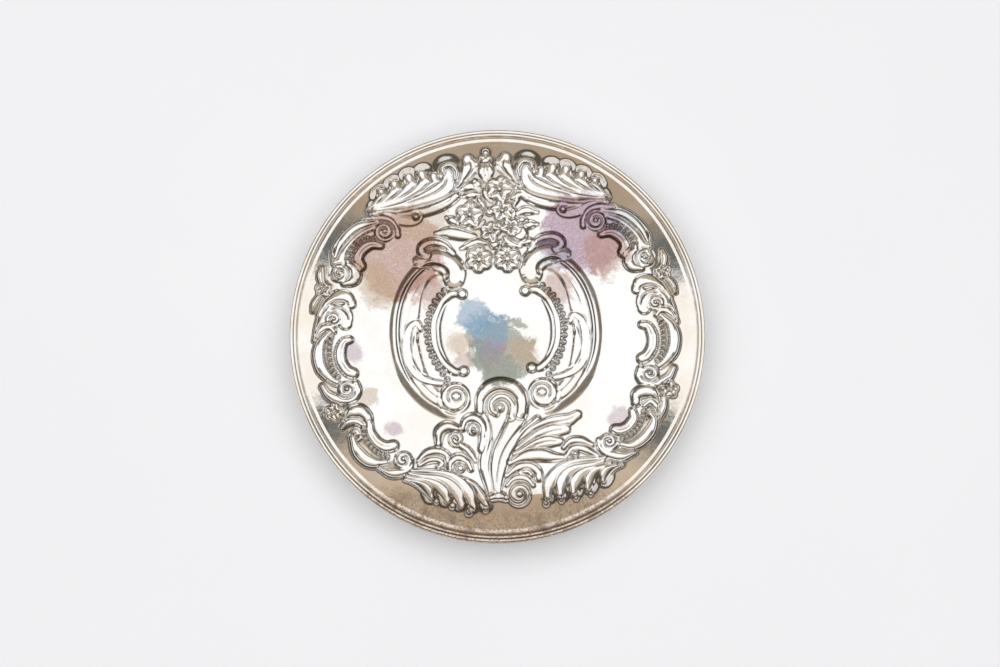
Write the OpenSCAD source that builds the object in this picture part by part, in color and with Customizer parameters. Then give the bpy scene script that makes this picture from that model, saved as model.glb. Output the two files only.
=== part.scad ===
// Round silver powder compact: a domed lid with a mirror, a powder well under a
// self-opening inner lid, and a push-button catch. Millimetres, +Z up.
// The origin is the centre of the flat underside. The hinge is at +Y, the catch at -Y.

/* [Case] */
// Outer diameter of the closed case
case_d = 80; // [74:1:90]
// Height of the base up to the parting line
base_h = 5; // [5:0.1:5.6]
// Sheet thickness of the base and of the lid's skirt
sheet = 0.9; // [0.8:0.05:0.95]
// Height of the lid's raised ornament above its plain centre
relief_h = 0.7; // [0.3:0.1:1]

/* [Mirror] */
// Thickness of the mirror glass
glass_t = 1.5; // [1:0.1:1.6]
// Thickness of the backing card behind the glass
pad_t = 0.5; // [0.3:0.1:0.5]

/* [Powder well] */
// Depth of the loose powder
powder_t = 0.65; // [0.4:0.05:0.8]
// Thickness of the puff
puff_t = 2.7; // [2:0.1:2.7]
// Radius of the puff
puff_r = 30; // [20:0.5:30]

/* [Hinges] */
// Outer radius of the lid hinge's knuckles
knuckle_r = 1.15; // [1.05:0.05:1.15]
// Radius of the lid hinge's pin
pin_r = 0.5; // [0.4:0.05:0.55]
// Pitch of the lid hinge's knuckles
knuckle_pitch = 3.8; // [3:0.1:3.8]
// Radius of the inner lid's hinge pin
small_pin_r = 0.35; // [0.25:0.05:0.4]
// Running clearance round each hinge pin
pin_gap = 0.05; // [0.03:0.01:0.08]

/* [Catch] */
// Width of the push button
button_w = 6; // [4:0.5:6]
// Height of the push button
button_h = 2.2; // [1.8:0.1:2.4]
// Travel of the push button
button_travel = 0.7; // [0.5:0.1:0.8]
// Leaf thickness of the catch's bow spring
spring_t = 0.2; // [0.15:0.05:0.25]

/* [Hidden] */
$fn = 120;
case_r = case_d / 2;
parting_gap = 0.1;
lid_z0 = base_h + parting_gap;
cut = 50;                                // size of a block that only cuts away
overrun = 1;                             // how far a cut runs past what it cuts
lap = 0.1;                               // how far fused blocks run into each other

// Base
base_r = case_r - 0.2;
base_corner_r = 2;
base_in_r = base_r - sheet;

// Collar that the lid closes over, standing up inside the base wall
collar_r = base_in_r;
collar_t = 0.5;
collar_top = base_h + 1.4;
collar_bottom = base_h - 0.5;
collar_front_gap_w = 8;

// Powder pan: a dish with a flat deck
pan_t = 0.4;
well_r = case_r - 7;
deck_r = collar_r - collar_t - 0.1;
deck_top = base_h + 0.4;
deck_slot_z = base_h - 1;
pan_floor_top = sheet + pan_t;

// Sifter and puff, stacked in the well
sifter_r = well_r - 0.1;
sifter_w = 1.6;
sifter_t = 0.55;
gauze_t = 0.15;
gauze_grip = 1;
gauze_r = sifter_r - sifter_w + gauze_grip;
sifter_z = pan_floor_top + powder_t;
gauze_z = sifter_z + (sifter_t - gauze_t) / 2;
puff_z = sifter_z + sifter_t;
puff_edge_r = 0.9;
ribbon_w = 13;
ribbon_t = 0.1;

// Inner lid over the well
door_t = 0.5;
door_z = deck_top + 0.05;
door_r = well_r + 1.1;
door_groove_r = door_r - 4;
door_groove_w = 1;
door_groove_t = 0.12;
small_knuckle_r = 0.7;
small_hinge_y = door_r + small_knuckle_r + 0.1;
small_hinge_z = door_z + small_knuckle_r;
small_knuckle_l = 4;
small_knuckle_count = 3;
small_hinge_gap = 0.1;
small_ear_l = 2;
bracket_gap = 0.15;
bracket_l = 1.1;
bracket_t = 0.35;
bracket_lap = 0.3;
tab_w = 7;
tab_t = 0.4;
tab_y = -(door_r - 0.4);                 // centre of the tab's rounded end
tab_reach = 1.6;

// Lid cover, from the skirt up to the ornament
lid_wall_r = case_r - 0.05;
lid_wall_in_r = collar_r + 0.25;
lid_ledge_z = base_h + 2.95;             // flat underside that the lid's fittings sit on
lid_ledge_in_r = case_r - 3.1;
outer_roll_r = 0.42;
outer_roll_z = base_h + 3.2;
inner_roll_r = 0.38;
inner_roll_z = base_h + 3.62;
groove_w = 0.26;                         // how far the two rolls overlap
crease_r = case_r - 1.55;
crease_z = base_h + 3.75;
cove_r = case_r - 2.4;                   // where the plain cove meets the crease band
cove_z = base_h + 3.95;
shoulder_r = case_r - 5.2;               // top of the cove, foot of the ornament
shoulder_z = base_h + 6.5;
field_r = case_r * 0.45;                 // plain centre of the lid
field_z = base_h + 7.3;
cover_t = 0.8;
cover_draw_in = 0.98;
swell_power = 0.6;                       // how square-shouldered the ornament band's swell is
cove_steps = 8;
ornament_steps = 20;

// Lid fittings
liner_t = 0.6;
liner_r = lid_wall_in_r - 0.95;
mirror_r = case_r - 5.8;
mirror_fit = 0.1;
pad_inset = 0.2;
liner_lip_w = 0.5;
liner_lip_h = 0.9;
glass_z = lid_ledge_z - 0.2;
bezel_t = 0.35;
bezel_w = 1.2;
glass_bevel_w = 3;
glass_bevel_h = 0.4;

// Lid hinge
hinge_y = base_r - knuckle_r - 0.05;
hinge_z = base_h + parting_gap / 2;
knuckle_count = 5;
knuckle_gap = 0.1;
hinge_w = knuckle_count * knuckle_pitch;
notch_w = hinge_w + 2.2;
lid_notch_w = notch_w + 0.8;
lid_notch_top = hinge_z + 2.5;
base_notch_z = hinge_z - knuckle_r - 0.2;
notch_gap = 0.3;
hinge_room = 0.25;
strip_t = 0.7;
base_strip_z = sheet + 1;
base_web_z = base_strip_z + 0.8;
lid_strip_z = hinge_z + 1.35;
lid_web_z = hinge_z + 1.85;

// Catch
button_z = 2;
button_gap = 0.12;
button_flange = 0.8;
flange_drop = 0.25;
flange_rise = 0.1;
button_face_r = case_r - 0.05;
button_back_y = -(base_in_r - 0.25);
flange_back_y = button_back_y + 0.45;
bolt_t = 0.7;
bolt_w = 5.2;
bolt_room = 0.2;
bolt_z0 = button_z - 0.3;
bolt_top = base_h + 1.4;
nose_w = 4.2;
nose_h = 0.45;
nose_reach = 0.2;
keeper_gap = 0.08;
keeper_w = 5.6;
keeper_y = -(lid_wall_in_r - 0.15);
keeper_t = 0.4;
keeper_lip_h = 0.45;
keeper_room = 0.4;
keeper_bottom = base_h + 0.3;
spring_r = 2.9;
spring_h = 1.6;
spring_z = button_z + 0.2;
housing_t = 0.4;
housing_in_w = 7.9;
housing_front_y = flange_back_y + 0.6;
housing_back_y = flange_back_y + bolt_t + spring_r;
housing_h = 3.5;
deck_slot_w = 6.4;

silver = [0.87, 0.86, 0.83];
gilt = [0.86, 0.68, 0.36];
steel = [0.55, 0.56, 0.58];

// ---- Shared shapes ----

// Flat ring from z0 up
module ring(r_out, r_in, z0, h) {
    rotate_extrude()
        translate([r_in, z0])
            square([r_out - r_in, h]);
}

// Box given by its centre along X, its low corner in Y and Z, and its size
module block(w, y0, y1, z0, z1) {
    translate([-w / 2, y0, z0])
        cube([w, y1 - y0, z1 - z0]);
}

// Round bar along X between two places
module x_bar(x0, x1, y, z, r) {
    translate([x0, y, z])
        rotate([0, 90, 0])
            cylinder(r = r, h = x1 - x0);
}

// Left end of a knuckle in a row centred on X = 0
function knuckle_x(i, count, pitch) = (i - count / 2) * pitch;

// Curved strip that follows the inside of a round wall at the back
module wall_strip(r_out, w, z0, z1) {
    intersection() {
        ring(r_out, r_out - strip_t, z0, z1 - z0);
        block(w, 0, cut, z0, z1);
    }
}

// ---- Lid ----

// Height of the ornament band: it swells between the plain centre and the shoulder
function ornament_z(u) =
    field_z + (shoulder_z - field_z) * u * u + relief_h * pow(sin(180 * u), swell_power);

// Outer surface of the lid from its centre to the crease band. The cove falls from the
// shoulder as a hollow quarter curve.
function lid_top_points() = concat(
    [[0, field_z]],
    [for (i = [0 : ornament_steps])
        let (u = i / ornament_steps)
            [field_r + (shoulder_r - field_r) * u, ornament_z(u)]],
    [for (i = [1 : cove_steps - 1])
        let (a = 90 * i / cove_steps)
            [
                shoulder_r + (cove_r - shoulder_r) * (1 - cos(a)),
                shoulder_z - (shoulder_z - cove_z) * sin(a)
            ]],
    [[cove_r, cove_z]]
);

module lid_section() {
    top = lid_top_points();
    last = len(top) - 1;
    // The underside is drawn in as well as down, so that the steep cove keeps its thickness
    under = [for (i = [last : -1 : 0]) [top[i][0] * cover_draw_in, top[i][1] - cover_t]];
    skirt = [
        [crease_r, crease_z],
        [lid_wall_r, outer_roll_z],
        [lid_wall_r, lid_z0],
        [lid_wall_in_r, lid_z0],
        [lid_wall_in_r, lid_ledge_z],
        [lid_ledge_in_r, lid_ledge_z]
    ];
    polygon(concat(top, skirt, under));
}

// One roll of the reeded edge
module lid_roll(r, z, roll_r) {
    rotate_extrude()
        translate([r, z])
            circle(r = roll_r);
}

module lid_cover() {
    inner_roll_at = case_r - 2 * outer_roll_r - inner_roll_r + groove_w / 2;
    color(silver)
        difference() {
            union() {
                rotate_extrude()
                    lid_section();
                lid_roll(case_r - outer_roll_r, outer_roll_z, outer_roll_r);
                lid_roll(inner_roll_at, inner_roll_z, inner_roll_r);
            }
            block(lid_notch_w, 0, cut, lid_z0 - overrun, lid_notch_top);
        }
}

module lid_liner() {
    r_in = mirror_r + mirror_fit;
    color(gilt)
        difference() {
            rotate_extrude() {
                translate([r_in, lid_ledge_z - liner_t])
                    square([liner_r - r_in, liner_t]);
                translate([r_in, lid_ledge_z - liner_t])
                    square([liner_lip_w, liner_t + liner_lip_h]);
            }
            // Room for the keeper at the front
            block(keeper_w + 2 * keeper_room, -cut, keeper_y + keeper_t + keeper_room, 0, cut);
        }
}

module mirror_pad() {
    color("saddlebrown")
        translate([0, 0, glass_z + glass_t])
            cylinder(r = mirror_r - pad_inset, h = pad_t);
}

module mirror_glass() {
    color("lightblue")
        rotate_extrude()
            polygon([
                [0, glass_z],
                [mirror_r - glass_bevel_w, glass_z],
                [mirror_r, glass_z + glass_bevel_h],
                [mirror_r, glass_z + glass_t],
                [0, glass_z + glass_t]
            ]);
}

module mirror_bezel() {
    color(gilt)
        ring(mirror_r + mirror_fit, mirror_r - bezel_w, glass_z - bezel_t, bezel_t);
}

module catch_keeper() {
    y1 = keeper_y + keeper_t;
    lip_y = flange_back_y - nose_reach - keeper_gap;
    color(steel) {
        block(keeper_w, keeper_y, y1, keeper_bottom, lid_ledge_z);
        block(keeper_w, y1 - lap, lip_y, keeper_bottom, keeper_bottom + keeper_lip_h);
    }
}

// ---- Lid hinge ----

// Every second knuckle of the row, with the web that ties it to its strip. The web stays
// within the round wall that the strip follows.
module knuckles(first, bore_r, wall_r, web_z0, web_z1) {
    for (i = [first : 2 : knuckle_count - 1]) {
        x0 = knuckle_x(i, knuckle_count, knuckle_pitch) + knuckle_gap / 2;
        x1 = x0 + knuckle_pitch - knuckle_gap;
        difference() {
            union() {
                x_bar(x0, x1, hinge_y, hinge_z, knuckle_r);
                intersection() {
                    translate([x0, hinge_y - knuckle_r, web_z0])
                        cube([x1 - x0, knuckle_r, web_z1 - web_z0]);
                    cylinder(r = wall_r, h = cut);
                }
            }
            x_bar(x0 - overrun, x1 + overrun, hinge_y, hinge_z, bore_r);
        }
    }
}

module base_hinge_leaf() {
    color(silver) {
        wall_strip(base_in_r, hinge_w, base_strip_z, base_notch_z);
        knuckles(0, pin_r, base_in_r, base_web_z, hinge_z);
    }
}

module lid_hinge_leaf() {
    color(silver) {
        wall_strip(lid_wall_in_r, hinge_w, lid_strip_z, lid_ledge_z);
        knuckles(1, pin_r + pin_gap, lid_wall_in_r, hinge_z, lid_web_z);
    }
}

module hinge_pin() {
    color(steel)
        x_bar(-hinge_w / 2, hinge_w / 2, hinge_y, hinge_z, pin_r);
}

// ---- Base ----

module base_section() {
    centre_r = base_r - base_corner_r;
    square([centre_r, sheet]);
    intersection() {
        translate([centre_r, base_corner_r])
            difference() {
                circle(r = base_corner_r);
                circle(r = base_corner_r - sheet);
            }
        translate([centre_r, 0])
            square(base_corner_r);
    }
    translate([base_in_r, base_corner_r])
        square([sheet, base_h - base_corner_r]);
}

module base_shell() {
    color(silver)
        difference() {
            rotate_extrude()
                base_section();
            block(notch_w, 0, cut, base_notch_z, cut);
            block(
                button_w + 2 * button_gap, -cut, 0,
                button_z - button_gap, button_z + button_h + button_gap
            );
        }
}

module base_collar() {
    color(gilt)
        difference() {
            ring(collar_r, collar_r - collar_t, collar_bottom, collar_top - collar_bottom);
            block(notch_w + 2 * notch_gap, 0, cut, 0, cut);
            block(collar_front_gap_w, -cut, 0, base_h, cut);
        }
}

module powder_pan() {
    color(gilt)
        difference() {
            rotate_extrude() {
                translate([0, sheet])
                    square([well_r + pan_t, pan_t]);
                translate([well_r, sheet])
                    square([pan_t, deck_top - sheet]);
                translate([well_r, deck_top - pan_t])
                    square([deck_r - well_r, pan_t]);
            }
            // Room for the lid hinge and for the latch
            block(notch_w + 2 * notch_gap, hinge_y - knuckle_r - hinge_room, cut, 0, cut);
            block(
                deck_slot_w, -cut, flange_back_y + bolt_t + button_travel + bolt_room,
                deck_slot_z, cut
            );
        }
}

module powder_bed() {
    color("peachpuff")
        translate([0, 0, pan_floor_top])
            cylinder(r = sifter_r, h = powder_t);
}

module gauze_disc() {
    translate([0, 0, gauze_z])
        cylinder(r = gauze_r, h = gauze_t);
}

module sifter_ring() {
    color(gilt)
        difference() {
            ring(sifter_r, sifter_r - sifter_w, sifter_z, sifter_t);
            gauze_disc();
        }
}

module sifter_gauze() {
    color("ivory")
        gauze_disc();
}

module puff_pad() {
    color("mistyrose")
        rotate_extrude() {
            translate([0, puff_z])
                square([puff_r - puff_edge_r, puff_t]);
            translate([0, puff_z + puff_edge_r])
                square([puff_r, puff_t - 2 * puff_edge_r]);
            translate([puff_r - puff_edge_r, puff_z + puff_edge_r])
                circle(r = puff_edge_r);
            translate([puff_r - puff_edge_r, puff_z + puff_t - puff_edge_r])
                circle(r = puff_edge_r);
        }
}

module puff_ribbon() {
    color("pink")
        intersection() {
            block(ribbon_w, -puff_r, puff_r, puff_z + puff_t, puff_z + puff_t + ribbon_t);
            cylinder(r = puff_r - puff_edge_r, h = cut);
        }
}

// ---- Inner lid ----

// Knuckle of the small hinge, with the flat ear that ties it to a plate in front or behind
module small_knuckle(x0, x1, bore_r, ear_y0, ear_y1, ear_z1) {
    difference() {
        union() {
            x_bar(x0, x1, small_hinge_y, small_hinge_z, small_knuckle_r);
            translate([x0, ear_y0, door_z])
                cube([x1 - x0, ear_y1 - ear_y0, ear_z1 - door_z]);
        }
        x_bar(x0 - overrun, x1 + overrun, small_hinge_y, small_hinge_z, bore_r);
    }
}

module inner_lid() {
    x1 = small_knuckle_l / 2 + small_hinge_gap;
    color(gilt) {
        difference() {
            translate([0, 0, door_z])
                cylinder(r = door_r, h = door_t);
            // Pressed recess with a plain border round it
            ring(
                door_groove_r, door_groove_r - door_groove_w,
                door_z + door_t - door_groove_t, overrun
            );
        }
        for (side = [0, 1])
            mirror([side, 0, 0])
                small_knuckle(
                    x1, x1 + small_knuckle_l, small_pin_r + pin_gap,
                    small_hinge_y - small_ear_l, small_hinge_y, door_z + door_t
                );
    }
}

module inner_lid_tab() {
    color(gilt)
        translate([0, 0, door_z + door_t])
            intersection() {
                translate([0, tab_y, 0])
                    cylinder(d = tab_w, h = tab_t);
                block(tab_w, -door_r - tab_reach, tab_y + tab_w / 2, 0, tab_t);
            }
}

module inner_hinge_bracket() {
    plate_w = small_knuckle_count * small_knuckle_l;
    plate_y0 = small_hinge_y + small_knuckle_r + bracket_gap;
    color(gilt) {
        block(plate_w, plate_y0, plate_y0 + bracket_l, deck_top, deck_top + bracket_t);
        small_knuckle(
            -small_knuckle_l / 2, small_knuckle_l / 2, small_pin_r,
            small_hinge_y, plate_y0 + bracket_lap, small_hinge_z
        );
    }
}

module inner_hinge_pin() {
    half = small_knuckle_count * small_knuckle_l / 2 + small_hinge_gap;
    color(steel)
        x_bar(-half, half, small_hinge_y, small_hinge_z, small_pin_r);
}

// ---- Catch ----

module push_button() {
    color(silver) {
        intersection() {
            block(button_w, -case_r, button_back_y, button_z, button_z + button_h);
            cylinder(r = button_face_r, h = cut);
        }
        block(
            button_w + button_flange, button_back_y, flange_back_y,
            button_z - button_gap - flange_drop, button_z + button_h + button_gap + flange_rise
        );
    }
}

module latch_bolt() {
    nose_z = bolt_top - nose_h;
    y1 = flange_back_y + bolt_t;
    color(steel) {
        block(bolt_w, flange_back_y, y1, bolt_z0, bolt_top);
        block(nose_w, flange_back_y - nose_reach, y1, nose_z, bolt_top);
    }
}

module catch_spring() {
    color(steel)
        translate([0, housing_back_y, spring_z])
            rotate([0, 0, 180])
                rotate_extrude(angle = 180)
                    translate([spring_r - spring_t, 0])
                        square([spring_t, spring_h]);
}

module catch_housing() {
    y1 = housing_back_y + housing_t;
    half = housing_in_w / 2;
    color(steel) {
        block(housing_in_w + 2 * housing_t, housing_back_y, y1, sheet, sheet + housing_h);
        for (side = [0, 1])
            mirror([side, 0, 0])
                translate([half, housing_front_y, sheet])
                    cube([housing_t, y1 - housing_front_y, housing_h]);
    }
}

lid_cover();
lid_liner();
lid_hinge_leaf();
mirror_pad();
mirror_glass();
mirror_bezel();
catch_keeper();
base_shell();
base_collar();
base_hinge_leaf();
hinge_pin();
powder_pan();
powder_bed();
sifter_ring();
sifter_gauze();
puff_pad();
puff_ribbon();
inner_hinge_bracket();
inner_hinge_pin();
inner_lid();
inner_lid_tab();
catch_housing();
catch_spring();
latch_bolt();
push_button();
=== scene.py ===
"""Looks of a round silver powder compact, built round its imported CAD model."""
from math import cos, pi, radians, sin

import bpy
import numpy as np
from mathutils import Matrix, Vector


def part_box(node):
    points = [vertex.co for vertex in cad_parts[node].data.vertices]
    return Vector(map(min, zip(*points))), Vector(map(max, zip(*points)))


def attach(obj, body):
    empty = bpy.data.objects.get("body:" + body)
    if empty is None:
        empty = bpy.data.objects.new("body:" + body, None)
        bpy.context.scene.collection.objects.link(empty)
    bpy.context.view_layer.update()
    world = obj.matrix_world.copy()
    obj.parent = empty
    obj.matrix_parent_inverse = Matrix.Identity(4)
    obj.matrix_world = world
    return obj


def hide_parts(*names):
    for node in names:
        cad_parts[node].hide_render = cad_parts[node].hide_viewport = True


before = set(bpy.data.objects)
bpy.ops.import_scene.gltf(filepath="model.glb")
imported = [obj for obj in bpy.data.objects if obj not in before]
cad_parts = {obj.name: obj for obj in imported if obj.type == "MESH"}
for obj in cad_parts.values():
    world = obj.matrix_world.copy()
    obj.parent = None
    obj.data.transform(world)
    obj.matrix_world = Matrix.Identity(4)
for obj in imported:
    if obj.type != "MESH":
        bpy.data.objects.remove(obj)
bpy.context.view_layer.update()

MM = 0.001

# ---- Lid, in mm ----
FIELD_Z = 11.65                # plain ground at the centre
SHOULDER = (31.6, 11.3)        # top of the plain sloping band: radius, height
BAND_FOOT = (37.6, 8.95)       # foot of that band
BAND_HOLLOW = 0.1              # makes it sag a little between the two
LEVEL = 0.7                    # share of the band's drop that the ornament makes up for
DISC_R = 36.9                  # the embossed disc ends part way down the band
DISC_N = 400                   # quads across the disc
PEAK_Z = 12.84                 # no ornament rises above this
PEAK_SOFT = 0.12               # tops near that are pressed down by up to this much
SKIRT_R = 38.6                 # the rim's skirt lies outside this
CREASES = ((38.47, 0.16), (39.24, 0.12))    # creases of the reeded rim, with painted shade along them: radius, width
CREASE_Z = 8                   # they lie above this height
HOLLOW_GAIN = 9                # how fast a hollow turns dark with its depth
PAINTED_UNDER_SHADE = 0.2               # painted shade on the rim's skirt and underside
NOTCH_HALF = 11.0              # opening in the skirt for the hinge
NOTCH_Z = 7.55                 # the skirt ends at this height there

# ---- The embossed ornament, as heights over a fine raster, in mm ----
PITCH = 0.1                    # raster step
REACH = 37.0                   # half width of the raster
AXIS_X = -0.3                  # where the ornament's axis crosses the lid's centre line
AXIS_TILT = radians(3.0)       # the ornament leans a little on the lid


def curve_through(points, step=0.3):
    """Smooth open curve (Catmull-Rom) through given points."""
    p = np.asarray(points, float)
    p = np.vstack([2 * p[0] - p[1], p, 2 * p[-1] - p[-2]])
    out = [p[1]]
    for a, b, c, d in zip(p[:-3], p[1:-2], p[2:-1], p[3:]):
        n = max(2, int(np.ceil(np.hypot(*(c - b)) / step)))
        t = (np.arange(1, n + 1) / n)[:, None]
        out.extend(0.5 * (2 * b + (c - a) * t + (2 * a - 5 * b + 4 * c - d) * t ** 2
                          + (3 * b - a - 3 * c + d) * t ** 3))
    return np.array(out)


def smooth01(t):
    """Runs smoothly from 0 to 1."""
    t = np.clip(t, 0, 1)
    return t * t * (3 - 2 * t)


class Relief:
    """A raster of heights that strokes, beads and lines are pressed into."""

    def __init__(self):
        n = int(2 * REACH / PITCH) + 1
        self.axis = np.linspace(-REACH, REACH, n)
        self.height = np.zeros((n, n))
        self.soil = np.zeros((n, n))
        # Forms that run out over the sloping band keep near the height of the field
        x, y = np.meshgrid(self.axis, self.axis)
        self.drop = LEVEL * np.clip(SHOULDER[1] - ground_z(np.hypot(x, y)), 0, 2.0)
        self.mirror = True

    def window(self, low, high):
        """The part of the raster between two corners, and its places."""
        i0, i1 = np.searchsorted(self.axis, [low[1], high[1]])
        j0, j1 = np.searchsorted(self.axis, [low[0], high[0]])
        view = (slice(i0, i1), slice(j0, j1))
        return view, *np.meshgrid(self.axis[j0:j1], self.axis[i0:i1])

    def sides(self, points):
        """The points, and their mirror image across the ornament's axis."""
        p = np.asarray(points, float)
        yield p
        if self.mirror:
            c, s = cos(2 * AXIS_TILT), sin(2 * AXIS_TILT)
            x, y = p[:, 0] - AXIS_X, p[:, 1]
            yield np.stack([AXIS_X - x * c - y * s, y * c - x * s], 1)

    def distance(self, curve, margin):
        """Near a curve: the gap to it, the gap counted positive on its left, and the share of it run."""
        view, x, y = self.window(curve.min(0) - margin, curve.max(0) + margin)
        best = np.full(x.shape, 1e9)
        along = np.zeros(x.shape)
        offset = np.zeros(x.shape)
        lengths = np.hypot(*np.diff(curve, axis=0).T)
        starts = np.concatenate([[0], np.cumsum(lengths)])
        for a, b, size, start in zip(curve[:-1], curve[1:], lengths, starts):
            if size < 1e-9:
                continue
            d = (b - a) / size
            t = np.clip((x - a[0]) * d[0] + (y - a[1]) * d[1], 0, size)
            gap = np.hypot(x - a[0] - t * d[0], y - a[1] - t * d[1])
            near = gap < best
            best[near] = gap[near]
            along[near] = (start + t[near]) / starts[-1]
            offset[near] = (d[0] * (y - a[1]) - d[1] * (x - a[0]))[near]
        return view, best, offset, along

    def near(self, points, margin):
        """For a curve and its mirror image: which way round it is, and what distance() gives."""
        for flip, p in zip((1, -1), self.sides(points)):
            yield flip, *self.distance(curve_through(p), margin)

    def lift(self, view, height):
        """Raises the ground to a height where it is lower."""
        self.height[view] = np.maximum(self.height[view], height)

    def stroke(self, points, width, height, ends=(0.3, 0.3), crown=0.2, side=0.42, lean=0.0):
        """A raised leaf or band along a curve. A negative crown makes it hollow; a lean raises one side."""
        for flip, view, gap, offset, t in self.near(points, width / 2 + 1.3 * side + 0.2):
            taper = ends[0] + (1 - ends[0]) * smooth01(t / 0.4)
            taper = taper * (ends[1] + (1 - ends[1]) * smooth01((1 - t) / 0.4))
            half = width / 2 * taper
            old = self.height[view]
            # A narrow trench keeps it apart from what lies under it
            old = old * (1 - 0.25 * np.exp(-((gap - half - side * 0.7) / 0.2) ** 2))
            # A soft rounded flank: steeper at the top than at the foot
            flank = np.clip((gap - half + 0.15 * side) / (1.3 * side), 0, 1)
            body = (1 - flank) ** 1.5 * (1 + 1.5 * flank)
            across = np.clip(offset / np.maximum(half, 0.05), -1, 1)
            inside = np.clip(1 - (gap / np.maximum(half, 0.05)) ** 2, 0, 1)
            scale = (0.55 + 0.45 * taper) * (1 + flip * lean * 0.5 * across)
            new = (0.72 * height * scale + self.drop[view]) * body + 1.3 * crown * taper * inside
            self.height[view] = np.maximum(old, np.where(body > 0, new, 0))

    def petal(self, points, width, height, side=0.22, tail=0.12, left=False, cut=0.5):
        """A broad leaf lobe from its round tip to its tail, high along its right (or left) edge."""
        for flip, view, gap, offset, t in self.near(points, width / 2 + side + 0.2):
            outward = flip * offset if left else -flip * offset
            taper = (0.6 + 0.4 * smooth01(t / 0.22)) * (1 - (1 - tail) * smooth01((t - 0.25) / 0.75))
            half = width / 2 * taper
            across = np.clip(outward / np.maximum(half, 0.05), -1, 1)
            lean = 0.16 + 0.22 * smooth01(t / 0.5)
            face = 0.62 + lean * across + 0.16 * (1 - across ** 2)
            edge = 1 - smooth01((gap - half) / side)
            new = (height * (0.45 + 0.55 * taper) * face + self.drop[view]) * edge
            # It cuts a crease along its high edge into the lobe before it
            crease = np.exp(-((outward - half - 0.16) / 0.16) ** 2) * (gap < half + 0.5)
            old = self.height[view] * (1 - cut * crease * smooth01((1 - t) / 0.3))
            self.height[view] = np.maximum(old, new)

    def ledge(self, points, wide, height, keep=0.5, fall=0.6, reach=2.2):
        """A sloping wall on the right of a curve, a crest on it, and a lower floor to its left."""
        for flip, view, gap, offset, t in self.near(points, max(wide, reach) + 0.2):
            offset = flip * offset
            ends = smooth01(t / 0.08) * smooth01((1 - t) / 0.08)
            outer = height * np.clip(1 + offset / wide, 0, 1)
            floor = height * (keep + (1 - keep) * (1 - smooth01(offset / fall)))
            floor = floor * (1 - smooth01((offset - reach + 0.8) / 0.8))
            new = np.where(offset < 0, outer, floor) * ends
            inside = (gap - np.abs(offset)) < 0.05
            self.lift(view, np.where(inside, new, 0))

    def swell(self, points, radius, height):
        """A soft bulge along a curve, with no edge."""
        for _, view, gap, _, _ in self.near(points, radius):
            self.lift(view, (height + self.drop[view]) * (1 - smooth01(gap / radius)))

    def line(self, points, width, height):
        """A thin fillet (or, with a negative height, a cut) added along a curve."""
        for _, view, gap, _, t in self.near(points, 2.5 * width):
            fade = smooth01(t / 0.12) * smooth01((1 - t) / 0.12)
            self.height[view] += height * fade * np.exp(-(gap / width) ** 2 * 2)

    def ball(self, x, y, r, height, top=0.35):
        """A round boss with steep sides."""
        for p in self.sides([(x, y)]):
            view, gx, gy = self.window(p[0] - r - 0.5, p[0] + r + 0.5)
            gap = np.hypot(gx - p[0][0], gy - p[0][1])
            dome = height + top * (1 - (gap / r) ** 2)
            edge = 1 - smooth01((gap - r * 0.8) / (r * 0.35))
            old = self.height[view]
            old = old * (1 - 0.3 * np.exp(-((gap - r * 1.15) / 0.16) ** 2))
            self.height[view] = np.maximum(old, dome * edge)

    def grime(self, points, width, share):
        """Dirt left on the ground along a curve."""
        for _, view, gap, _, _ in self.near(points, width / 2 + 0.5):
            fade = 1 - smooth01((gap - width / 2 + 0.7) / 1.2)
            self.soil[view] = np.maximum(self.soil[view], share * fade)

    def beads(self, points, count, r, height, sunk=0.7):
        """A row of round beads in a sunk, dirty track."""
        curve_sides = list(self.sides(points))
        mirror, self.mirror = self.mirror, False
        for p in curve_sides:
            curve = curve_through(p)
            view, gap, _, _ = self.distance(curve, 1.2)
            track = sunk * (1 - smooth01((gap - 0.3) / 0.5))
            self.soil[view] = np.maximum(self.soil[view], track)
            self.height[view] *= 1 - track
            run = np.concatenate([[0], np.cumsum(np.hypot(*np.diff(curve, axis=0).T))])
            for s in np.linspace(0, run[-1], count):
                self.ball(np.interp(s, run, curve[:, 0]), np.interp(s, run, curve[:, 1]), r, height, 0.3)
        self.mirror = mirror

    def volute(self, x, y, r, height, start, turn):
        """A band that winds in, narrowing, and ends in a boss."""
        a = np.linspace(0, 2.4 * pi, 28)
        rad = r * (1 - 0.66 * a / a[-1])
        spiral = np.stack([x + rad * np.cos(start + turn * a), y + rad * np.sin(start + turn * a)], 1)
        self.ball(x, y, r * 0.98, 0.75 * height, 0.4)
        self.line(spiral, 0.26, -0.5)
        self.ball(x + 0.06 * r, y + 0.06 * r, r * 0.3, height, 0.35)

    def flower(self, x, y, r, petals, turn, height):
        """Round petals, each with a cut down its middle, round a small boss."""
        size = 2.4 * r / petals
        ways = [(cos(a), sin(a)) for a in (turn + 2 * pi * k / petals for k in range(petals))]
        for c, s in ways:
            self.ball(x + 0.58 * r * c, y + 0.58 * r * s, size, height, 0.15)
        for c, s in ways:
            self.line([(x + 0.3 * r * c, y + 0.3 * r * s), (x + r * c, y + r * s)], 0.18, -0.35)
        self.ball(x, y, r * 0.25, height + 0.15, 0.3)


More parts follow.
